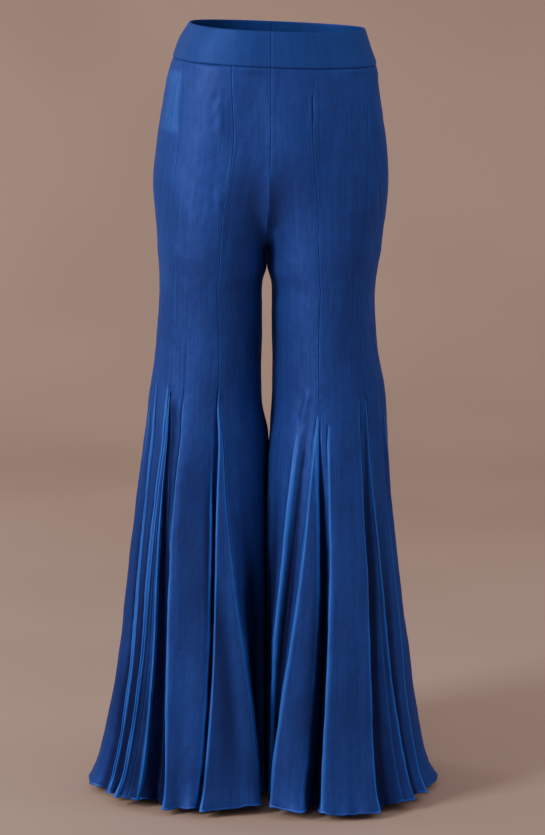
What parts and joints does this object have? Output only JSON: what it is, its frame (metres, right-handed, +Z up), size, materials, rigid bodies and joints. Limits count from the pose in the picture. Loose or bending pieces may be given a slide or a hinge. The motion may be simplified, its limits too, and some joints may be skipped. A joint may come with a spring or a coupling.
{
  "type": "sharara trousers",
  "caption": "Royal-blue satin sharara trousers as worn: deep waistband, close panels to the knee, and flared legs that fall in deep folds of let-in godets to the hem.",
  "frame": {"origin": "at the height of the waistband's top edge, on the plane through the centre front and centre back seams, in the middle of the waist opening", "axes": "+Z up, -Y to the wearer's front, +X to the wearer's left"},
  "size_m": [0.4992, 0.3349, 1.08],
  "materials": {
    "satin": "royal-blue satin with a soft sheen",
    "waistband_satin": "the same satin, doubled and pressed smooth"
  },
  "bodies": {
    "root": {"right_front_waistband": "waistband_satin", "right_back_waistband": "waistband_satin", "right_front_inner_panel": "satin", "right_front_inner_panel_flare": "satin", "right_front_godet": "satin", "right_front_outer_panel": "satin", "right_side_front_godet": "satin", "right_side_front_panel": "satin", "right_side_front_panel_flare": "satin", "right_side_godet": "satin", "right_side_back_panel": "satin", "right_side_back_godet": "satin", "right_back_outer_panel": "satin", "right_back_godet": "satin", "right_back_inner_panel": "satin", "right_back_inner_panel_flare": "satin", "left_front_waistband": "waistband_satin", "left_back_waistband": "waistband_satin", "left_front_inner_panel": "satin", "left_front_inner_panel_flare": "satin", "left_front_godet": "satin", "left_front_outer_panel": "satin", "left_side_front_godet": "satin", "left_side_front_panel": "satin", "left_side_front_panel_flare": "satin", "left_side_godet": "satin", "left_side_back_panel": "satin", "left_side_back_godet": "satin", "left_back_outer_panel": "satin", "left_back_godet": "satin", "left_back_inner_panel": "satin", "left_back_inner_panel_flare": "satin"}
  },
  "joints": []
}
